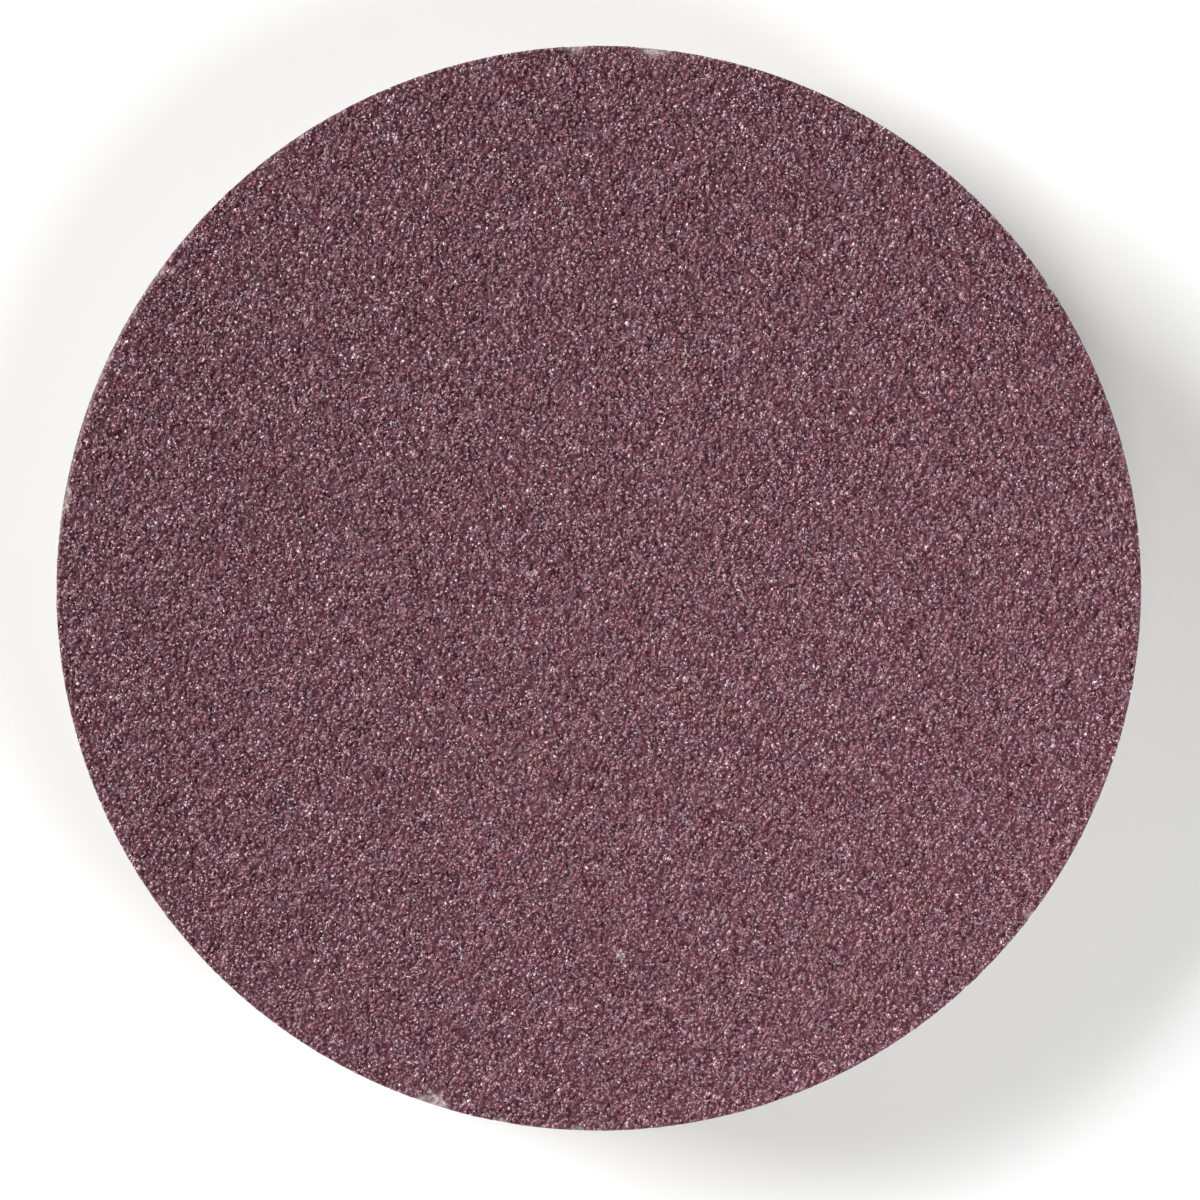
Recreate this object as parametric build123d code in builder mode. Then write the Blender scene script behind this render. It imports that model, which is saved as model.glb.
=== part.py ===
from build123d import *
import os
from math import ceil, cos, radians, sin, tan

# A two inch quick-change sanding disc, standing grain side up on the flat tip of its stud.
# It is a die-cut disc of coated abrasive cloth with a moulded button bonded to its back.
# The button's coarse right-hand thread turns into a holder on a grinder in about one turn.
# The origin is on the disc's axis at the tip of the stud, and +Z is the way the grain faces.

# Driving dimensions, in millimetres and degrees

# The die-cut disc: twill cloth with a coat of bonded grain
disc_diameter = 50.8
cloth_thickness = 0.6
coat_thickness = 0.4

# The button's flange, thick at its middle and thin enough to flex at its rim
flange_diameter = 22.0
flange_thickness = 1.6
flange_rim_thickness = 0.8

# The shallow bed that bonding presses into the cloth, and the gap round the flange in it
bed_depth = 0.1
bed_clearance = 0.1

# The shoulder under the flange, where the thread ends and the holder stops
shoulder_height = 1.0
shoulder_width = 0.8

# The stud, from the flange to its tip, with a lead-in cone that finds the holder's thread
stud_length = 6.4
stud_diameter = 11.0
lead_in_height = 1.2
lead_in_depth = 1.5

# The thread, whose ridge runs from the tip up to the shoulder. Its root is sunk into the
# stud, and its top end lies inside the shoulder, always at the same angle from +X.
thread_pitch = 3.2
thread_depth = 1.1
crest_width = 0.9
flank_width = 0.55
root_sink = 0.3
thread_end_rise = 0.4
thread_end_angle = 80.0
profiles_per_turn = 12

# The cored hole that keeps the stud's wall even, tapered so that it leaves the mould
core_hole_diameter = 4.4
core_hole_floor = 1.6
core_hole_draft = 1.0

# The bevels and rounds of the moulding's edges and corners
edge_bevel = 0.25
shoulder_corner_round = 0.5
flange_rim_round = 0.3

# Chips out of the coat's rim, where the die broke grain away and the cloth shows.
# Each is its angle from +X about +Z, its length along the rim and its depth from the rim.
rim_chips = [
    (33.9, 0.6, 0.2),
    (84.0, 1.7, 0.45),
    (92.4, 1.1, 0.4),
    (144.2, 0.8, 0.25),
    (170.6, 1.6, 0.4),
    (252.0, 1.9, 0.5),
    (259.6, 0.7, 0.25),
    (267.8, 0.6, 0.25),
    (322.7, 0.6, 0.3),
]

# The thin crescent of cloth left bare along one side, where the grain's edge crumbled.
# Its spread is the angle from its middle, where it is widest, to where it ends.
crescent_angle = 158.0
crescent_width = 0.15
crescent_spread = 24.0

# Radii
disc_radius = disc_diameter / 2
flange_radius = flange_diameter / 2
stud_radius = stud_diameter / 2
root_radius = stud_radius - thread_depth
shoulder_radius = stud_radius + shoulder_width
tip_radius = stud_radius - lead_in_depth
core_hole_radius = core_hole_diameter / 2

# Heights above the stud's tip
shoulder_z = stud_length - shoulder_height
flange_top_z = stud_length + flange_thickness
flange_rim_z = flange_top_z - flange_rim_thickness
cloth_z = flange_top_z - bed_depth
coat_z = cloth_z + cloth_thickness
core_hole_depth = flange_top_z - core_hole_floor
core_floor_radius = core_hole_radius - core_hole_depth * tan(radians(core_hole_draft))


# The twill cloth, with the flange's bed pressed into its back
with BuildPart() as cloth_backing:
    with BuildSketch(Plane.XY.offset(cloth_z)):
        Circle(disc_radius)
    extrude(amount=cloth_thickness)
    with BuildSketch(Plane.XY.offset(cloth_z)):
        Circle(flange_radius + bed_clearance)
    extrude(amount=bed_depth, mode=Mode.SUBTRACT)
cloth_backing.part.label = "cloth_backing"


# The coat of grain. A chip is bitten out by a circle that cuts the rim at the chip's two
# ends. The bare crescent is what a larger circle, set back from that side, leaves uncovered.
spread_cosine = cos(radians(crescent_spread))
crescent_setback = crescent_width / (1 - spread_cosine)
crescent_radius = disc_radius - crescent_width + crescent_setback

with BuildPart() as abrasive_coat:
    with BuildSketch(Plane.XY.offset(coat_z)):
        Circle(disc_radius)
        with PolarLocations(crescent_setback, 1, start_angle=crescent_angle + 180):
            Circle(crescent_radius, mode=Mode.INTERSECT)
        for angle, length, depth in rim_chips:
            bite_radius = (length**2 / 4 + depth**2) / (2 * depth)
            bite_distance = disc_radius - depth + bite_radius
            with PolarLocations(bite_distance, 1, start_angle=angle):
                Circle(bite_radius, mode=Mode.SUBTRACT)
    extrude(amount=coat_thickness)
abrasive_coat.part.label = "abrasive_coat"


# The thread's ridge, lofted through its own profile, which stands upright all the way down
# the helix from the shoulder. It runs on for at least half a turn below the tip, where the
# lead-in cuts it off.
thread_top = shoulder_z + thread_end_rise
thread_turns = ceil(thread_top / thread_pitch) + 0.5
thread_bottom = thread_top - thread_turns * thread_pitch
crest_half = crest_width / 2
sunk_radius = root_radius - root_sink
sunk_half = crest_half + flank_width * (thread_depth + root_sink) / thread_depth

with BuildPart() as thread_ridge:
    for step in range(int(thread_turns * profiles_per_turn) + 1):
        turned = step / profiles_per_turn
        angle = radians(thread_end_angle - 360 * turned)
        profile_plane = Plane(
            origin=(0, 0, thread_top - turned * thread_pitch),
            x_dir=(cos(angle), sin(angle), 0),
            z_dir=(sin(angle), -cos(angle), 0),
        )
        with BuildSketch(profile_plane):
            with BuildLine():
                Polyline(
                    (stud_radius, -crest_half),
                    (stud_radius, crest_half),
                    (sunk_radius, sunk_half),
                    (sunk_radius, -sunk_half),
                    close=True,
                )
            make_face()
    loft()


# The button: stud, shoulder and flange in one revolved section, with the thread added. A
# second section then cuts off all that lies below the lead-in cone and the flat tip, and
# cores the hole up the middle.
stud_bottom = thread_bottom - thread_pitch
with BuildPart() as fastening_button:
    with BuildSketch(Plane.XZ):
        with BuildLine():
            FilletPolyline(
                (0, stud_bottom),
                (root_radius, stud_bottom),
                (root_radius, shoulder_z),
                (shoulder_radius - edge_bevel, shoulder_z),
                (shoulder_radius, shoulder_z + edge_bevel),
                (shoulder_radius, stud_length),
                (flange_radius, flange_rim_z),
                (flange_radius, flange_top_z),
                (0, flange_top_z),
                radius=[0, 0, 0, 0, 0, shoulder_corner_round, flange_rim_round, 0, 0],
                close=True,
            )
        make_face()
    revolve(axis=Axis.Z)
    add(thread_ridge.part)
    with BuildSketch(Plane.XZ):
        with BuildLine():
            Polyline(
                (0, stud_bottom - thread_pitch),
                (stud_radius + lead_in_depth, stud_bottom - thread_pitch),
                (stud_radius + lead_in_depth, 2 * lead_in_height),
                (tip_radius, 0),
                (core_hole_radius + edge_bevel, 0),
                (core_hole_radius, edge_bevel),
                (core_floor_radius, core_hole_depth),
                (0, core_hole_depth),
                close=True,
            )
        make_face()
    revolve(axis=Axis.Z, mode=Mode.SUBTRACT)
fastening_button.part.label = "fastening_button"


# One file for each piece
os.makedirs("parts", exist_ok=True)
export_step(cloth_backing.part, "parts/cloth_backing.step")
export_step(abrasive_coat.part, "parts/abrasive_coat.step")
export_step(fastening_button.part, "parts/fastening_button.step")
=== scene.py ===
# %% [markdown]
# # A quick-change sanding disc
# The real thing is a two inch disc of grinding cloth. Crushed aluminium oxide is set in a
# red-brown resin on a strong twill, and a moulded nylon button is bonded to the back of it.
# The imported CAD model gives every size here. This file gives the disc its looks: a coat of
# real grains, the weave of the cloth, and the satin of the moulding.

import math

import bpy
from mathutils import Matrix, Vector


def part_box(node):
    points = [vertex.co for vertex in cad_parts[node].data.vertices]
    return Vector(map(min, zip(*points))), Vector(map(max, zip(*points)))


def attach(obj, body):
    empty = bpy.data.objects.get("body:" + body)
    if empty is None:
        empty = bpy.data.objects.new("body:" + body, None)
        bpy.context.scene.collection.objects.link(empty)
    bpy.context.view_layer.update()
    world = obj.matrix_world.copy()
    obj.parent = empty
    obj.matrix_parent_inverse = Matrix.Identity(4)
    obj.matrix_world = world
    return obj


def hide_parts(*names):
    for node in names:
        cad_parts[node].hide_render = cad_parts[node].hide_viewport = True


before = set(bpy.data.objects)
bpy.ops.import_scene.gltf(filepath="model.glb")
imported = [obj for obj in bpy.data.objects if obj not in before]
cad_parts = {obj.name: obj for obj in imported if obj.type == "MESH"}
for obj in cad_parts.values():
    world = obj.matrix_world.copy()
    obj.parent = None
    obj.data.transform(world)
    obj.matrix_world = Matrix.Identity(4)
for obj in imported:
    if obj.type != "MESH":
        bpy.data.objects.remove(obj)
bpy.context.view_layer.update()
MM = 0.001

# %% [markdown]
# ## The camera
# The photograph looks straight down on the grain, from so far away that the disc shows no
# perspective. A long lens at a distance does the same. The disc sits a little high in the
# picture, so the camera stands a little below the disc's middle.

# %% Camera
PICTURE_WIDTH = 56.14 * MM     # what the picture's width covers at the height of the grain
PICTURE_MIDDLE = Vector((0.061 * MM, -0.552 * MM))
LENS, SENSOR = 200.0, 36.0     # millimetres, as on a real camera
NEAREST_SEEN = 10 * MM         # close views of so small a thing need a near limit

GRAIN_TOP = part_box("abrasive_coat")[1][2]
distance = PICTURE_WIDTH * LENS / SENSOR
bpy.ops.object.camera_add(
    location=(PICTURE_MIDDLE.x, PICTURE_MIDDLE.y, GRAIN_TOP + distance),
    rotation=(0, 0, 0),
)
camera = bpy.context.object
camera.data.lens = LENS
camera.data.sensor_width = SENSOR
camera.data.clip_start = NEAREST_SEEN
bpy.context.scene.camera = camera
print("camera stands", round(distance / MM, 1), "mm above the grain")

# %% [markdown]
# ## Helpers for materials
# Colours are written as the hex codes that a paint program shows. Those codes are for the
# eye, and a renderer adds up light, so one function turns them into amounts of light.
# Another adds a node, sets it up and links it, which keeps every material short to read.

# %% Helpers for materials
def colour(code):
    """The amounts of red, green and blue light that an sRGB hex code stands for."""
    values = [int(code[i:i + 2], 16) / 255 for i in (1, 3, 5)]
    light = [v / 12.92 if v <= 0.04045 else ((v + 0.055) / 1.055) ** 2.4 for v in values]
    return (*light, 1.0)


def add_node(tree, kind, inputs=None, stops=(), **settings):
    """Add a node, set it up and link it.

    A node that is given as an input stands for its first output. Stops are the places and
    the hex codes of a colour ramp.
    """
    node = tree.nodes.new(kind)
    for name, value in settings.items():
        setattr(node, name, value)
    for socket, value in (inputs or {}).items():
        if isinstance(value, bpy.types.Node):
            value = value.outputs[0]
        if isinstance(value, bpy.types.NodeSocket):
            tree.links.new(value, node.inputs[socket])
        else:
            node.inputs[socket].default_value = value
    for index, (position, code) in enumerate(stops):
        stop = node.color_ramp.elements[index]
        stop.position = position
        stop.color = colour(code)
    return node


def new_material(name):
    material = bpy.data.materials.new(name)
    material.use_nodes = True
    material.node_tree.nodes.clear()
    return material, material.node_tree


print("a middle grey, #808080, is", round(colour("#808080")[0], 3), "of white light")

# %% [markdown]
# ## Floor and light
# The photograph is a cut-out on white. A pale floor under even light gives that white, and
# it keeps the disc's own soft shadow. The light comes mostly from the left and a little
# from above, low enough that every grain has a bright side and a dark side, and a softer
# lamp at the lower right lifts that side, as it does in the photograph.

# %% Floor
FLOOR_SIZE = 6.0     # metres, far wider than any view of so small a thing

bpy.ops.mesh.primitive_plane_add(size=FLOOR_SIZE, location=(0, 0, 0))
floor = bpy.context.object
floor.name = "studio_floor"
# Matt paper has no gloss at all, so the eye gets an even white from every side
paper, tree = new_material("white_studio_paper")
paper_shader = add_node(tree, "ShaderNodeBsdfDiffuse", {"Color": colour("#FCFCFC")})
add_node(tree, "ShaderNodeOutputMaterial", {"Surface": paper_shader})
floor.data.materials.append(paper)
print("floor:", FLOOR_SIZE, "m wide")


# %% Lamps
def add_lamp(name, azimuth, elevation, distance, size, strength):
    """A square softbox that faces the disc, with its angles in degrees and lengths in metres.

    Azimuth 0 is +X and 90 is +Y. At strength 1 a white surface that faces the lamp shows
    as plain white.
    """
    a, e = math.radians(azimuth), math.radians(elevation)
    direction = Vector((math.cos(e) * math.cos(a), math.cos(e) * math.sin(a), math.sin(e)))
    bpy.ops.object.light_add(type="AREA", location=direction * distance)
    lamp = bpy.context.object
    lamp.name = name
    lamp.rotation_euler = direction.to_track_quat("Z", "Y").to_euler()
    lamp.data.shape = "SQUARE"
    lamp.data.size = size
    lamp.data.energy = strength * 4 * math.pi * distance ** 2
    print(name, "gives", round(lamp.data.energy, 2), "W")


add_lamp("key_softbox", azimuth=155, elevation=32, distance=1.6, size=0.9, strength=1.20)
add_lamp("fill_softbox", azimuth=-41, elevation=60, distance=0.1, size=0.05, strength=0.42)

# %% [markdown]
# ## The room
# The rest of the studio is a dim, even room, which fills the shadows and is mirrored in the
# resin. Views from near the floor look past the floor's edge, so the foot of the room's
# wall is a pale strip. The direction of a look gives its height on the wall.

# %% World
STRIP_LIGHT, ROOM_LIGHT = 0.85, 0.12
STRIP_TOP = 0.09, 0.13     # where the strip fades out, as sines of the angle of the look

world = bpy.data.worlds.new("grey_studio")
bpy.context.scene.world = world
world.use_nodes = True
tree = world.node_tree
look = add_node(tree, "ShaderNodeTexCoord")
rise = add_node(tree, "ShaderNodeSeparateXYZ", {0: look.outputs["Generated"]})
strip = add_node(tree, "ShaderNodeMapRange",
                 {"Value": rise.outputs["Z"], "From Min": STRIP_TOP[0],
                  "From Max": STRIP_TOP[1], "To Min": STRIP_LIGHT, "To Max": ROOM_LIGHT})
sky = tree.nodes["Background"]
sky.inputs["Color"].default_value = colour("#FFFFFF")
tree.links.new(strip.outputs[0], sky.inputs["Strength"])
bpy.context.scene.view_settings.view_transform = "Standard"
print("room light:", ROOM_LIGHT, "of white")

# %% [markdown]
# ## Helpers for modelling
# Every new piece takes its size and place from the CAD nodes, so a change to the part
# carries over. A few helpers keep the modelling short: one leaves nothing selected, one
# picks a piece to work on, and one copies a CAD node so that the node itself stays as it is.

# %% Helpers for modelling
disc_low, disc_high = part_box("cloth_backing")
CLOTH_LOW, CLOTH_TOP = disc_low[2], disc_high[2]
DISC_RADIUS = disc_high[0]


def start_fresh():
    """Leave edit mode and select nothing, so that an operator touches only what is chosen."""
    if bpy.context.object and bpy.context.object.mode != "OBJECT":
        bpy.ops.object.mode_set(mode="OBJECT")
    bpy.ops.object.select_all(action="DESELECT")


def take(piece):
    start_fresh()
    piece.select_set(True)
    bpy.context.view_layer.objects.active = piece


def copy_of(piece, name):
    copied = piece.copy()
    copied.data = piece.data.copy()
    copied.name = name
    copied.parent = None
    bpy.context.collection.objects.link(copied)
    return copied


def settle(piece):
    """Put a piece's place and turn into its mesh, as a CAD node has them."""
    take(piece)
    bpy.ops.object.transform_apply(location=True, rotation=True, scale=True)


def triangles(piece):
    return sum(len(face.vertices) - 2 for face in piece.data.polygons)


print("disc radius:", round(DISC_RADIUS / MM, 2), "mm")

# %% [markdown]
# ## The twill's relief
# The cloth is a 2/1 drill: each warp yarn passes over two weft yarns and under one, and
# each row starts one yarn further on, so raised ridges run across the cloth at an angle.
# They could be sculpted, but Geometry Nodes can move every point by a formula, and one
# group then shapes both the cloth's back and the resin that follows its face.

# %% Node groups
WARP_SPACING = 0.399 * MM     # along X, measured from the ridges in the photograph
WEFT_SPACING = 0.443 * MM     # along Y
RIDGE_X, RIDGE_Y = 3 * WARP_SPACING, 3 * WEFT_SPACING     # one ridge in each three yarns
FLAT_ENOUGH = 0.9             # how much of a face's normal has to point up, or down


def new_group(name, *numbers):
    """A Geometry Nodes group that takes a mesh, and these whole numbers, and gives a mesh."""
    tree = bpy.data.node_groups.new(name, "GeometryNodeTree")
    tree.interface.new_socket("Geometry", in_out="INPUT", socket_type="NodeSocketGeometry")
    for number in numbers:
        tree.interface.new_socket(number, in_out="INPUT", socket_type="NodeSocketInt")
    tree.interface.new_socket("Geometry", in_out="OUTPUT", socket_type="NodeSocketGeometry")
    return tree, add_node(tree, "NodeGroupInput")


def apply_group(piece, tree, **values):
    take(piece)
    modifier = piece.modifiers.new(tree.name, "NODES")
    modifier.node_group = tree
    for socket in tree.interface.items_tree:
        if socket.name in values:
            modifier[socket.identifier] = values[socket.name]
    bpy.ops.object.modifier_apply(modifier=modifier.name)


# %% Twill relief
def ridges_and_bumps(tree, place, ridge_height, bumps, bump_size):
    """How far each point moves: a sine across the twill, and a little unevenness."""
    wave = 2 * math.pi / RIDGE_X, -2 * math.pi / RIDGE_Y, 0
    along = add_node(tree, "ShaderNodeVectorMath", {0: place, 1: wave},
                     operation="DOT_PRODUCT")
    ridge = add_node(tree, "ShaderNodeMath", {0: along.outputs["Value"]}, operation="SINE")
    rise = add_node(tree, "ShaderNodeMath", {0: ridge, 1: ridge_height / 2},
                    operation="MULTIPLY")
    noise = add_node(tree, "ShaderNodeTexNoise",
                     {"Vector": place, "Scale": 1 / bump_size, "Detail": 2.0})
    uneven = add_node(tree, "ShaderNodeMath", {0: noise, 1: 2 * bumps, 2: -bumps},
                      operation="MULTIPLY_ADD")
    return add_node(tree, "ShaderNodeMath", {0: rise, 1: uneven}, operation="ADD")


def relief_group(name, facing, **relief):
    """Shape the faces that point up, where facing is 1, or down, where it is -1."""
    tree, start = new_group(name)
    place = add_node(tree, "GeometryNodeInputPosition")
    lift = add_node(tree, "ShaderNodeCombineXYZ", {2: ridges_and_bumps(tree, place, **relief)})
    normal = add_node(tree, "GeometryNodeInputNormal")
    steep = add_node(tree, "ShaderNodeVectorMath", {0: normal, 1: (0, 0, facing)},
                     operation="DOT_PRODUCT")
    flat = add_node(tree, "ShaderNodeMath", {0: steep.outputs["Value"], 1: FLAT_ENOUGH},
                    operation="GREATER_THAN")
    moved = add_node(tree, "GeometryNodeSetPosition",
                     {"Geometry": start, "Selection": flat, "Offset": lift})
    add_node(tree, "NodeGroupOutput", {0: moved})
    return tree


print("twill ridges:", round(RIDGE_X / MM, 2), "mm apart along X")

# %% [markdown]
# ## The resin
# The maker brushes resin on the cloth, drops the grain into it, and then coats the grain
# with more resin. Between the grains that resin shows as a dark, glossy, uneven skin. A
# plain disc would do from far away, but the skin needs points that the twill can move. So a
# fine grid is closed into a slab and cut to the outline of the CAD coat, which gives it the
# same chips in its rim, and then it takes the relief.

# %% Slabs with a fine grid
GRID_STEP = 0.25 * MM
SLAB_MARGIN = 1 * MM            # the slab starts this much wider than the disc
MERGE_DISTANCE = 0.001 * MM


def fine_slab(name, level, depth):
    """A square slab with a fine grid at this level, and a plain face this deep below it.

    Where the depth is negative, the plain face is above the grid.
    """
    start_fresh()
    count = round(2 * (DISC_RADIUS + SLAB_MARGIN) / GRID_STEP)
    bpy.ops.mesh.primitive_grid_add(x_subdivisions=count, y_subdivisions=count,
                                    size=count * GRID_STEP, location=(0, 0, level))
    slab = bpy.context.object
    slab.name = name
    bpy.ops.object.mode_set(mode="EDIT")
    bpy.ops.mesh.select_all(action="DESELECT")
    bpy.ops.mesh.select_mode(type="EDGE")
    bpy.ops.mesh.select_non_manifold()
    bpy.ops.mesh.extrude_region_move(TRANSFORM_OT_translate={"value": (0, 0, -depth)})
    bpy.ops.mesh.edge_face_add()
    bpy.ops.mesh.select_all(action="SELECT")
    bpy.ops.mesh.normals_make_consistent(inside=False)
    settle(slab)
    return slab


# %% Cut to a CAD node
def trim_to(slab, node):
    """Cut a slab to the shape of a CAD node, whose loose triangles are merged in a copy."""
    cutter = copy_of(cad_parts[node], slab.name + "_cutter")
    take(cutter)
    bpy.ops.object.mode_set(mode="EDIT")
    bpy.ops.mesh.select_all(action="SELECT")
    bpy.ops.mesh.remove_doubles(threshold=MERGE_DISTANCE)
    take(slab)
    cut = slab.modifiers.new("cut", "BOOLEAN")
    cut.operation = "INTERSECT"
    cut.solver = "EXACT"
    cut.object = cutter
    bpy.ops.object.modifier_apply(modifier=cut.name)
    bpy.data.objects.remove(cutter)
    slab.data.materials.clear()


# %% Resin skin
RESIN_LEVEL = 0.13 * MM     # the skin's mean height above the cloth
TRIMMED_OFF = 0.1 * MM      # what the slab has below the coat, for the cut to take away

resin = fine_slab("resin_skin", CLOTH_TOP + RESIN_LEVEL, RESIN_LEVEL + TRIMMED_OFF)
trim_to(resin, "abrasive_coat")
apply_group(resin, relief_group("resin_relief", facing=1, ridge_height=0.031 * MM,
                                bumps=0.12 * MM, bump_size=0.6 * MM))
print("resin skin:", triangles(resin), "triangles")

# %% [markdown]
# ## The grain
# P80 grain is a fifth to a quarter of a millimetre across. Each is a blunt splinter, and
# five are modelled once, each from a three-sided prism that is turned and has two corners
# sliced off. A few faces are enough: smooth shading rounds them for the eye, as the resin
# over them does on the real disc.

# %% Shapes of the grains
GRAIN_SIZE = 0.25 * MM
PRISM_RADIUS, PRISM_DEPTH = 0.62, 0.8     # in grain sizes, as are the slices below
MELT_DISTANCE = 0.12                      # corners that are nearer than this become one

# For each kind, the direction and distance of its two slices, and its stretch each way
GRAIN_SHAPES = [
    ([((1, 0.6, 0.8), 0.44), ((-0.7, 0.9, 0.6), 0.46)], (1.0, 0.8, 0.95)),
    ([((0.6, -0.9, 1.0), 0.45), ((-1, 0.3, 0.7), 0.42)], (0.85, 1.05, 0.9)),
    ([((0.2, 1.0, 0.9), 0.43), ((0.8, -1, 0.5), 0.47)], (1.1, 0.85, 0.85)),
    ([((-0.8, -0.6, 1.0), 0.42), ((1, 0.9, 0.3), 0.48)], (0.9, 0.9, 1.1)),
    ([((0.9, 0.1, 0.7), 0.40), ((-0.6, -1, 0.8), 0.46)], (1.0, 0.95, 0.85)),
]
TURN_X, TURN_Y = 0.5, 1.1                 # radians more from each kind to the next


# %% One grain
def splinter(index, slices, stretch):
    start_fresh()
    bpy.ops.mesh.primitive_cylinder_add(vertices=3, radius=PRISM_RADIUS, depth=PRISM_DEPTH,
                                        rotation=(TURN_X * index, TURN_Y * index, 0))
    grain = bpy.context.object
    grain.name = f"grain_kind_{index}"
    bpy.ops.object.mode_set(mode="EDIT")
    for direction, depth in slices:
        normal = Vector(direction).normalized()
        bpy.ops.mesh.select_all(action="SELECT")
        bpy.ops.mesh.bisect(plane_co=normal * depth, plane_no=normal, use_fill=True,
                            clear_outer=True)
    bpy.ops.mesh.select_all(action="SELECT")
    bpy.ops.mesh.remove_doubles(threshold=MELT_DISTANCE)
    bpy.ops.transform.resize(value=[s * GRAIN_SIZE for s in stretch],
                             center_override=(0, 0, 0))
    bpy.ops.mesh.normals_make_consistent(inside=False)
    # Each face gets a place on a map of its own, which the bake of an export needs
    bpy.ops.uv.smart_project(angle_limit=math.radians(66), island_margin=0.02)
    start_fresh()
    return grain


# %% Five kinds of grain
grain_kinds = bpy.data.collections.new("grain_kinds")
for index, (slices, stretch) in enumerate(GRAIN_SHAPES):
    grain = splinter(index, slices, stretch)
    grain_kinds.objects.link(grain)
    bpy.context.collection.objects.unlink(grain)
    print(grain.name, triangles(grain), "triangles")

# %% [markdown]
# ## Where the grains stand
# Setting forty thousand grains by hand is no job for anyone, so Geometry Nodes spread points
# over the resin. Points that keep a distance from each other give the even crowd of a real
# coat, where plain random points would clump. So many grains are too much for one piece,
# and the coat is made in five slices, like a cake.

# %% Points on the resin
GRAIN_SPACING = 0.13 * MM
MOST_POINTS = 3.0e7     # to the square metre, before those that stand too near are dropped
UP_ENOUGH = 0.3         # how much of a face's normal has to point up for grain to lie on it
SLICES = 5


def points_on_top(tree, mesh):
    """Points on the skin's top, no two nearer to each other than the spacing."""
    normal = add_node(tree, "GeometryNodeInputNormal")
    up = add_node(tree, "ShaderNodeVectorMath", {0: normal, 1: (0, 0, 1)},
                  operation="DOT_PRODUCT")
    top = add_node(tree, "ShaderNodeMath", {0: up.outputs["Value"], 1: UP_ENOUGH},
                   operation="GREATER_THAN")
    return add_node(tree, "GeometryNodeDistributePointsOnFaces",
                    {"Mesh": mesh, "Selection": top, "Distance Min": GRAIN_SPACING,
                     "Density Max": MOST_POINTS, "Seed": 4}, distribute_method="POISSON")


def one_slice(tree, points, wanted):
    """Keep the points in one slice of the disc, by their angle round the middle."""
    place = add_node(tree, "GeometryNodeInputPosition")
    apart = add_node(tree, "ShaderNodeSeparateXYZ", {0: place})
    angle = add_node(tree, "ShaderNodeMath", {0: apart.outputs["Y"], 1: apart.outputs["X"]},
                     operation="ARCTAN2")
    share = add_node(tree, "ShaderNodeMath",
                     {0: angle, 1: SLICES / (2 * math.pi), 2: SLICES / 2},
                     operation="MULTIPLY_ADD")
    number = add_node(tree, "ShaderNodeMath", {0: share}, operation="FLOOR")
    here = add_node(tree, "ShaderNodeMath", {0: number, 1: wanted, 2: 0.5},
                    operation="COMPARE")
    elsewhere = add_node(tree, "ShaderNodeMath", {0: 1.0, 1: here}, operation="SUBTRACT")
    return add_node(tree, "GeometryNodeDeleteGeometry", {0: points, "Selection": elsewhere},
                    domain="POINT")


# %% [markdown]
# ## A grain on each point
# Dropped grain comes to rest at every angle, but mostly lying, and a sieve lets a range of
# sizes through. So each point gets one of the five kinds, tipped a little, turned all the
# way round by chance, and sized by chance. The seeds keep the chances the same every time.

# %% Grains by chance
TIP = 0.5                           # radians that a grain tips at most, each way
SMALLEST, LARGEST = 0.6, 1.35       # in grain sizes


def grain_on_each(tree, points):
    kinds = add_node(tree, "GeometryNodeCollectionInfo",
                     {"Collection": grain_kinds, "Separate Children": True,
                      "Reset Children": True})
    # A Random Value has one set of sockets for each data type, and its seed is input 8
    kind = add_node(tree, "FunctionNodeRandomValue", {4: 0, 5: len(GRAIN_SHAPES) - 1, 8: 1},
                    data_type="INT")
    turn = add_node(tree, "FunctionNodeRandomValue",
                    {0: (-TIP, -TIP, 0), 1: (TIP, TIP, 2 * math.pi), 8: 2},
                    data_type="FLOAT_VECTOR")
    size = add_node(tree, "FunctionNodeRandomValue", {2: SMALLEST, 3: LARGEST, 8: 3},
                    data_type="FLOAT")
    return add_node(tree, "GeometryNodeInstanceOnPoints",
                    {"Points": points, "Instance": kinds, "Pick Instance": True,
                     "Instance Index": kind.outputs[2], "Rotation": turn,
                     "Scale": size.outputs[1]})


# %% [markdown]
# ## A map for the bake
# An export bakes each piece's colours into one texture, and needs to know where on it each
# face lies. Unwrapping so many faces would take minutes. Every grain already has a small map
# of its own, so the grains are numbered, and each one's map goes into a square of its own.

# %% A square of the texture for each grain
SQUARES = 92          # along each side of the texture, enough for every grain of a slice
SQUARE_FILL = 0.9     # how much of the square's side a grain's map takes


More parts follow.
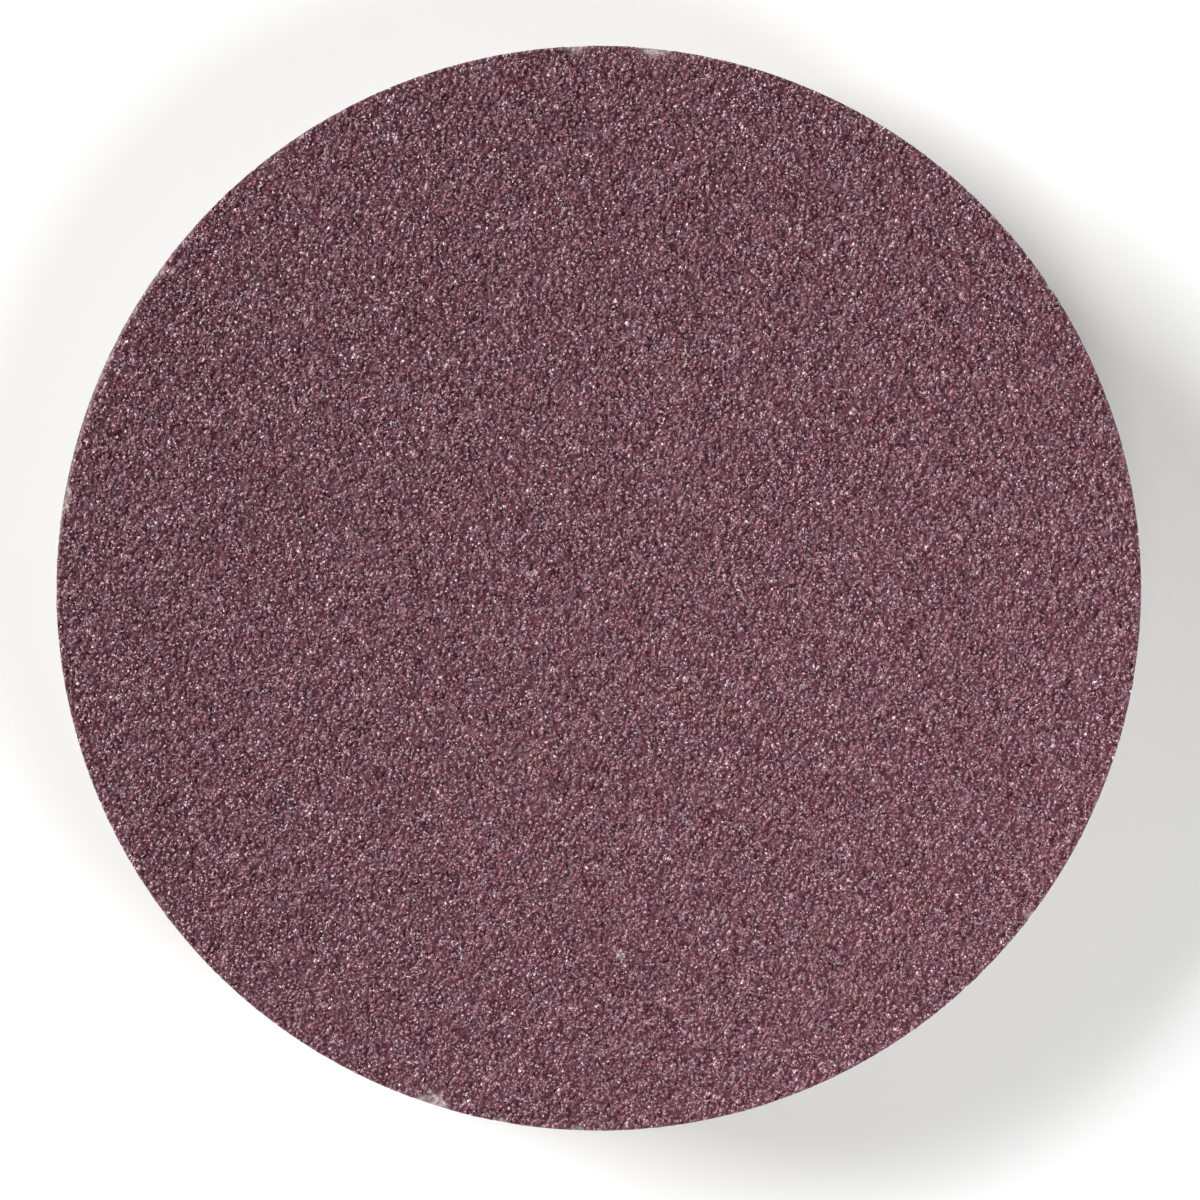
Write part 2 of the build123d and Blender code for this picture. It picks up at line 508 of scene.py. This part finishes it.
def own_squares(tree, grains):
    index = add_node(tree, "GeometryNodeInputIndex")
    numbered = add_node(tree, "GeometryNodeStoreNamedAttribute",
                        {0: grains, "Name": "number", "Value": index},
                        data_type="FLOAT", domain="INSTANCE")
    real = add_node(tree, "GeometryNodeRealizeInstances", {0: numbered})
    number = add_node(tree, "GeometryNodeInputNamedAttribute", {"Name": "number"},
                      data_type="FLOAT")
    own_map = add_node(tree, "GeometryNodeInputNamedAttribute", {"Name": "UVMap"},
                       data_type="FLOAT_VECTOR")
    column = add_node(tree, "ShaderNodeMath", {0: number, 1: SQUARES},
                      operation="FLOORED_MODULO")
    rows = add_node(tree, "ShaderNodeMath", {0: number, 1: SQUARES}, operation="DIVIDE")
    row = add_node(tree, "ShaderNodeMath", {0: rows}, operation="FLOOR")
    square = add_node(tree, "ShaderNodeCombineXYZ", {0: column, 1: row})
    in_square = add_node(tree, "ShaderNodeVectorMath",
                         {0: own_map, 1: (SQUARE_FILL, SQUARE_FILL, 0), 2: square},
                         operation="MULTIPLY_ADD")
    bake_map = add_node(tree, "ShaderNodeVectorMath", {0: in_square, "Scale": 1 / SQUARES},
                        operation="SCALE")
    return add_node(tree, "GeometryNodeStoreNamedAttribute",
                    {0: real, "Name": "OFBake", "Value": bake_map},
                    data_type="FLOAT2", domain="CORNER")


print("the texture has room for", SQUARES ** 2, "grains")

# %% [markdown]
# ## The sheared edge
# The die that cuts the disc shears every grain that stands over its edge, and the CAD
# coat's top is where the highest grains end. Cutting each grain would be slow, so the
# points outside are moved to the limit: in to the rim, down to the coat's top, or up to
# the cloth.

# %% Grains within the coat
def within_coat(tree, grains):
    place = add_node(tree, "GeometryNodeInputPosition")
    flat = add_node(tree, "ShaderNodeVectorMath", {0: place, 1: (1, 1, 0)},
                    operation="MULTIPLY")
    reach = add_node(tree, "ShaderNodeVectorMath", {0: flat}, operation="LENGTH")
    room = add_node(tree, "ShaderNodeMath", {0: DISC_RADIUS, 1: reach.outputs["Value"]},
                    operation="DIVIDE")
    shrink = add_node(tree, "ShaderNodeMath", {0: room, 1: 1.0}, operation="MINIMUM")
    inside = add_node(tree, "ShaderNodeVectorMath", {0: flat, "Scale": shrink},
                      operation="SCALE")
    apart = add_node(tree, "ShaderNodeSeparateXYZ", {0: place})
    below = add_node(tree, "ShaderNodeMath", {0: apart.outputs["Z"], 1: GRAIN_TOP},
                     operation="MINIMUM")
    above = add_node(tree, "ShaderNodeMath", {0: below, 1: CLOTH_TOP}, operation="MAXIMUM")
    height = add_node(tree, "ShaderNodeCombineXYZ", {2: above})
    limited = add_node(tree, "ShaderNodeVectorMath", {0: inside, 1: height}, operation="ADD")
    return add_node(tree, "GeometryNodeSetPosition", {"Geometry": grains, "Position": limited})


# %% Scatter the grains
scatter, start = new_group("scatter_grains", "Slice")
points = points_on_top(scatter, start)
points = one_slice(scatter, points, start.outputs["Slice"])
grains = grain_on_each(scatter, points)
grains = own_squares(scatter, grains)
add_node(scatter, "NodeGroupOutput", {0: within_coat(scatter, grains)})


def grains_in(piece):
    return 1 + round(max(point.value for point in piece.data.attributes["number"].data))


grain_pieces = []
for number in range(SLICES):
    piece = copy_of(resin, f"grains_{number}")
    apply_group(piece, scatter, Slice=number)
    take(piece)
    bpy.ops.object.shade_smooth()
    grain_pieces.append(piece)
    print(piece.name, grains_in(piece), "grains,", triangles(piece), "triangles")
bpy.data.collections.remove(grain_kinds)
print("all grains:", sum(triangles(piece) for piece in grain_pieces), "triangles")

# %% [markdown]
# ## The look of the grain
# Every grain is drowned in resin, so what the eye meets is a field of small wet-looking
# domes, each leaning its own way and each with a streak of light on its upper left. The
# modelled grains give the large domes. The small ones could be modelled too, but not within
# a sensible number of faces, so a cell pattern in the bump gives them, and it is stretched
# the way the resin was dragged along the twill.

# %% Resin domes
DOME_SIZE = 0.2 * MM                         # a dome of resin over one grain, across the drag
DOME_LEAN, DOME_ROUND = 1.6, 1.4             # how steeply a dome tilts, and how round it is
DRAG_ANGLE, DRAG_STRETCH = math.radians(62), 1.9
STRAY, STRAY_SIZE = 0.18 * MM, 0.35 * MM     # how far domes stray from even rows
RIPPLE, RIPPLE_SIZE = 0.25, 0.13 * MM        # the small unevenness of the resin itself


def dome_cells(tree, place):
    """Cells that are stretched along the drag, and where each point lies among them."""
    along = add_node(tree, "ShaderNodeMapping",
                     {"Vector": place, "Rotation": (0, 0, DRAG_ANGLE),
                      "Scale": (DRAG_STRETCH, 1, 1)}, vector_type="TEXTURE")
    wander = add_node(tree, "ShaderNodeTexNoise",
                      {"Vector": place, "Scale": 1 / STRAY_SIZE, "Detail": 1.0},
                      noise_dimensions="2D")
    shift = add_node(tree, "ShaderNodeVectorMath",
                     {0: wander.outputs["Color"], "Scale": STRAY}, operation="SCALE")
    moved = add_node(tree, "ShaderNodeVectorMath", {0: along, 1: shift}, operation="ADD")
    cells = add_node(tree, "ShaderNodeTexVoronoi",
                     {"Vector": moved, "Scale": 1 / DOME_SIZE}, voronoi_dimensions="2D")
    return cells, moved


# %% Height of the domes
def dome_height(tree, place, cells, moved):
    """A height for the bump, where each dome leans by chance, as the splinter in it does."""
    lean = add_node(tree, "ShaderNodeVectorMath",
                    {0: cells.outputs["Color"], 1: (0.5, 0.5, 0.5)}, operation="SUBTRACT")
    across = add_node(tree, "ShaderNodeVectorMath",
                      {0: moved, 1: cells.outputs["Position"]}, operation="SUBTRACT")
    tilt = add_node(tree, "ShaderNodeVectorMath", {0: across, 1: lean},
                    operation="DOT_PRODUCT")
    leaning = add_node(tree, "ShaderNodeMath",
                       {0: tilt.outputs["Value"], 1: DOME_LEAN / DOME_SIZE},
                       operation="MULTIPLY")
    fall = add_node(tree, "ShaderNodeMath", {0: cells.outputs["Distance"], 1: 2.0},
                    operation="POWER")
    dome = add_node(tree, "ShaderNodeMath", {0: fall, 1: -DOME_ROUND, 2: leaning},
                    operation="MULTIPLY_ADD")
    ripple = add_node(tree, "ShaderNodeTexNoise",
                      {"Vector": place, "Scale": 1 / RIPPLE_SIZE, "Detail": 1.0},
                      noise_dimensions="2D")
    return add_node(tree, "ShaderNodeMath", {0: ripple, 1: RIPPLE, 2: dome},
                    operation="MULTIPLY_ADD")


print("domes:", round(DOME_SIZE / MM, 2), "mm wide and", DRAG_STRETCH, "times as long")

# %% [markdown]
# ## Worn grains
# In a few places a grain has broken, and its pale inside shows without resin. Four of them
# are large enough to be seen in the photograph. A spot of another colour at each place is
# all they need, and a mask gives it: 1 on a spot, 0 elsewhere, and soft in between.

# %% Worn grains
WORN_GRAINS = [
    ((1.0, -17.2), 0.20),     # place from the middle and radius, in millimetres
    ((-3.0, 0.75), 0.15),
    ((1.9, -10.8), 0.12),
    ((-7.2, 10.4), 0.12),
]
FULL_TO, GONE_AT = 0.7, 1.3     # where a spot starts to fade and ends, in its own radii


def worn_grains(tree, place):
    flat = add_node(tree, "ShaderNodeVectorMath", {0: place, 1: (1, 1, 0)},
                    operation="MULTIPLY")
    mask = 0.0
    for (x, y), radius in WORN_GRAINS:
        away = add_node(tree, "ShaderNodeVectorMath", {0: flat, 1: (x * MM, y * MM, 0)},
                        operation="DISTANCE")
        spot = add_node(tree, "ShaderNodeMapRange",
                        {"Value": away.outputs["Value"], "From Min": FULL_TO * radius * MM,
                         "From Max": GONE_AT * radius * MM, "To Min": 1.0, "To Max": 0.0})
        mask = add_node(tree, "ShaderNodeMath", {0: mask, 1: spot}, operation="MAXIMUM")
    return mask


print(len(WORN_GRAINS), "worn grains")

# %% [markdown]
# ## The finish of the grain
# The resin is a phenolic, baked until it is hard, over crushed alumina. It is dark plum
# where it lies thick and a redder brown where it is thin, so the colour changes from dome
# to dome. Light meets two surfaces, the resin's and the stone's below it, and a Principled
# shader has both: a base with a stone's index, under a coat with the resin's.

# %% Grain material
POOL_SIZE = 1.1 * MM     # the thickness of the resin changes over this length


def resin_coated_grain():
    # Baked resin over crushed stone: the eye gets small soft glints on a deep plum ground
    material, tree = new_material("phenolic_resin_over_alumina")
    place = add_node(tree, "ShaderNodeTexCoord").outputs["Object"]
    cells, moved = dome_cells(tree, place)
    height = dome_height(tree, place, cells, moved)
    bump = add_node(tree, "ShaderNodeBump",
                    {"Strength": 0.78, "Distance": DOME_SIZE, "Height": height})
    body = add_node(tree, "ShaderNodeValToRGB", {0: cells.outputs["Color"]},
                    stops=[(0.0, "#693A46"), (1.0, "#88505C")])
    # A Mix node keeps its two colours in inputs 6 and 7, and the result in output 2
    pale = add_node(tree, "ShaderNodeMix",
                    {0: worn_grains(tree, place), 6: body, 7: colour("#BBA5A2")},
                    data_type="RGBA")
    # Thick and thin resin tint the glints, a little warm here and a little cool there
    pool = add_node(tree, "ShaderNodeTexNoise",
                    {"Vector": place, "Scale": 1 / POOL_SIZE, "Detail": 2.0},
                    noise_dimensions="2D")
    tint = add_node(tree, "ShaderNodeValToRGB", {0: pool},
                    stops=[(0.35, "#FFE6E4"), (0.65, "#DEE2FF")])
    shader = add_node(tree, "ShaderNodeBsdfPrincipled",
                      {"Base Color": pale.outputs[2], "Roughness": 0.36, "IOR": 1.76,
                       "Specular Tint": tint, "Coat Weight": 0.9, "Coat Roughness": 0.26,
                       "Coat IOR": 1.6, "Normal": bump, "Coat Normal": bump})
    add_node(tree, "ShaderNodeOutputMaterial", {"Surface": shader})
    return material


# %% Finish the grain
grain_finish = resin_coated_grain()
for piece in grain_pieces + [resin]:
    piece.data.materials.clear()
    piece.data.materials.append(grain_finish)
    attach(piece, "root")
    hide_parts("abrasive_coat")
print(grain_finish.name, "on", len(grain_pieces) + 1, "pieces")

# %% [markdown]
# ## The cloth
# The backing is a heavy cotton drill, filled with resin until it is stiff. Its back shows
# the weave, and its front shows only where grain has broken away at the rim. A slab is made
# as for the resin, but with its fine grid on the underside, where the ridges are seen.

# %% Cloth
BACK_LEVEL = 0.03 * MM      # the back's mean level, so that its ridges stay in the CAD box
CLOTH_SLAB = 1 * MM         # thicker than the cloth, for the cut to take the rest away

cloth = fine_slab("twill_cloth", CLOTH_LOW + BACK_LEVEL, -CLOTH_SLAB)
trim_to(cloth, "cloth_backing")
apply_group(cloth, relief_group("cloth_relief", facing=-1, ridge_height=0.05 * MM,
                                bumps=0.01 * MM, bump_size=1.5 * MM))
take(cloth)
bpy.ops.object.shade_smooth_by_angle(angle=math.radians(40))
print("cloth:", triangles(cloth), "triangles")

# %% [markdown]
# ## The weave
# The ridges are modelled, and the yarns in them are finer than the grid, so the material
# draws them. A yarn's number is the whole part of its distance from the middle, counted in
# yarns. The two numbers at a point tell which yarn is on top there: in each row the weft
# comes up at one warp yarn of three, and each row starts one yarn further on.

# %% Drill weave
def drill_weave(tree, place):
    """The height of the yarns, from 0 between two of them to 1 along the top of one."""
    per_yarn = 1 / WARP_SPACING, 1 / WEFT_SPACING, 1 / WEFT_SPACING
    yarns = add_node(tree, "ShaderNodeVectorMath", {0: place, 1: per_yarn},
                     operation="MULTIPLY")
    apart = add_node(tree, "ShaderNodeSeparateXYZ", {0: yarns})
    numbers, rounds = [], []
    for axis in ("X", "Y"):
        count = apart.outputs[axis]
        numbers.append(add_node(tree, "ShaderNodeMath", {0: count}, operation="FLOOR"))
        angle = add_node(tree, "ShaderNodeMath", {0: count, 1: math.pi}, operation="MULTIPLY")
        wave = add_node(tree, "ShaderNodeMath", {0: angle}, operation="SINE")
        hump = add_node(tree, "ShaderNodeMath", {0: wave}, operation="ABSOLUTE")
        rounds.append(add_node(tree, "ShaderNodeMath", {0: hump, 1: 0.5}, operation="POWER"))
    step = add_node(tree, "ShaderNodeMath", {0: numbers[0], 1: numbers[1]},
                    operation="SUBTRACT")
    turn = add_node(tree, "ShaderNodeMath", {0: step, 1: 3.0}, operation="FLOORED_MODULO")
    weft_up = add_node(tree, "ShaderNodeMath", {0: turn, 1: 0.5}, operation="LESS_THAN")
    return add_node(tree, "ShaderNodeMix", {0: weft_up, 2: rounds[0], 3: rounds[1]})


print("yarns to the centimetre:", round(10 * MM / WARP_SPACING), "along X and",
      round(10 * MM / WEFT_SPACING), "along Y")

# %% [markdown]
# ## Bare cloth and crust
# The back is bare cloth, a grey tan. Where grain broke off the front, the cloth isn't bare:
# a crumbled crust of old resin and pale grain hides the weave. The two are colours and
# heights of one material, and the height on the disc tells it which to show.

# %% Two sides of the cloth
FIBRE_SIZE = 0.12 * MM     # cotton fibres are far finer, but would be too fine to show
CRUMB_SIZE = 0.22 * MM     # the remains of one grain
PATCH_SIZE = 3 * MM        # the resin soaks in unevenly, and shades the cloth in patches
PATCHINESS = 0.4
FUZZ = 0.35                # how high the fibres stand, beside a yarn
CRUMBLE = 4.0              # how high the crust stands, beside a yarn
CRUST_FROM, CRUST_TO = CLOTH_TOP - 0.15 * MM, CLOTH_TOP - 0.02 * MM


def bare_cloth(tree, place, weave, fibres):
    """Colour of the sized cloth: patchy, and darker between the yarns, as painted shade."""
    patches = add_node(tree, "ShaderNodeTexNoise",
                       {"Vector": place, "Scale": 1 / PATCH_SIZE, "Detail": 2.0})
    # Painted shade: the cloth is darker where the yarns and their fibres lie low, as their
    # bump does
    relief_shade = add_node(tree, "ShaderNodeMath", {0: weave, 1: fibres}, operation="MULTIPLY")
    patches_and_relief_shade = add_node(tree, "ShaderNodeMath", {0: patches, 1: PATCHINESS, 2: relief_shade},
                      operation="MULTIPLY_ADD")
    return add_node(tree, "ShaderNodeValToRGB", {0: patches_and_relief_shade},
                    stops=[(0.25, "#8C7F6C"), (0.75, "#B9AE9C")])


def crust_mask(tree, place):
    """1 on the side of the cloth that carried the grain, and 0 on its back."""
    apart = add_node(tree, "ShaderNodeSeparateXYZ", {0: place})
    return add_node(tree, "ShaderNodeMapRange",
                    {"Value": apart.outputs["Z"], "From Min": CRUST_FROM,
                     "From Max": CRUST_TO})


# %% Cloth material
def resin_sized_drill():
    # Cotton drill stiffened with resin: the eye gets a dull, dry weave with a faint sheen
    material, tree = new_material("resin_sized_cotton_drill")
    place = add_node(tree, "ShaderNodeTexCoord").outputs["Object"]
    weave = drill_weave(tree, place)
    fibres = add_node(tree, "ShaderNodeTexNoise",
                      {"Vector": place, "Scale": 1 / FIBRE_SIZE, "Detail": 3.0,
                       "Roughness": 0.65})
    crumbs = add_node(tree, "ShaderNodeTexNoise",
                      {"Vector": place, "Scale": 1 / CRUMB_SIZE, "Detail": 2.0,
                       "Roughness": 0.6})
    crust = add_node(tree, "ShaderNodeValToRGB", {0: crumbs},
                     stops=[(0.38, "#7D5F64"), (0.62, "#BBADA9")])
    crusted = crust_mask(tree, place)
    shade = add_node(tree, "ShaderNodeMix",
                     {0: crusted, 6: bare_cloth(tree, place, weave, fibres), 7: crust},
                     data_type="RGBA")
    woven = add_node(tree, "ShaderNodeMath", {0: fibres, 1: FUZZ, 2: weave},
                     operation="MULTIPLY_ADD")
    rough = add_node(tree, "ShaderNodeMath", {0: crumbs, 1: CRUMBLE}, operation="MULTIPLY")
    height = add_node(tree, "ShaderNodeMix", {0: crusted, 2: woven, 3: rough})
    bump = add_node(tree, "ShaderNodeBump",
                    {"Strength": 0.8, "Distance": 0.06 * MM, "Height": height})
    shader = add_node(tree, "ShaderNodeBsdfPrincipled",
                      {"Base Color": shade.outputs[2], "Roughness": 0.72, "IOR": 1.5,
                       "Sheen Weight": 0.15, "Sheen Roughness": 0.5, "Normal": bump})
    add_node(tree, "ShaderNodeOutputMaterial", {"Surface": shader})
    return material


# %% Finish the cloth
cloth.data.materials.clear()
cloth.data.materials.append(resin_sized_drill())
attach(cloth, "root")
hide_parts("cloth_backing")
print(cloth.data.materials[0].name, "on", cloth.name)

# %% [markdown]
# ## The button
# The button is moulded in black nylon. Its mould is spark-eroded, which leaves fine, even
# pits, and they give every face a satin look. The CAD shape is right as it is, so nothing
# is modelled here, and the node only gets its finish.

# %% Button material
PIT_SIZE = 0.1 * MM     # the real pits are half as wide, and would be too fine to show
FLOW_SIZE = 5 * MM      # the melt cools unevenly as it flows, which shifts its gloss


def satin_nylon():
    # Nylon from a spark-eroded mould: the eye gets a soft, even satin that is nearly black
    material, tree = new_material("moulded_nylon_66_satin")
    place = add_node(tree, "ShaderNodeTexCoord").outputs["Object"]
    pits = add_node(tree, "ShaderNodeTexNoise",
                    {"Vector": place, "Scale": 1 / PIT_SIZE, "Detail": 2.0,
                     "Roughness": 0.6})
    flow = add_node(tree, "ShaderNodeTexNoise",
                    {"Vector": place, "Scale": 1 / FLOW_SIZE, "Detail": 3.0,
                     "Distortion": 0.6})
    shade = add_node(tree, "ShaderNodeValToRGB", {0: flow},
                     stops=[(0.3, "#39393B"), (0.7, "#434345")])
    gloss = add_node(tree, "ShaderNodeMapRange",
                     {"Value": flow, "To Min": 0.42, "To Max": 0.52})
    bump = add_node(tree, "ShaderNodeBump",
                    {"Strength": 0.35, "Distance": 0.02 * MM, "Height": pits})
    shader = add_node(tree, "ShaderNodeBsdfPrincipled",
                      {"Base Color": shade, "Roughness": gloss, "IOR": 1.53,
                       "Normal": bump})
    add_node(tree, "ShaderNodeOutputMaterial", {"Surface": shader})
    return material


# %% Finish the button
button_finish = satin_nylon()
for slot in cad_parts["fastening_button"].material_slots:
    slot.material = button_finish
print(button_finish.name, "on fastening_button")
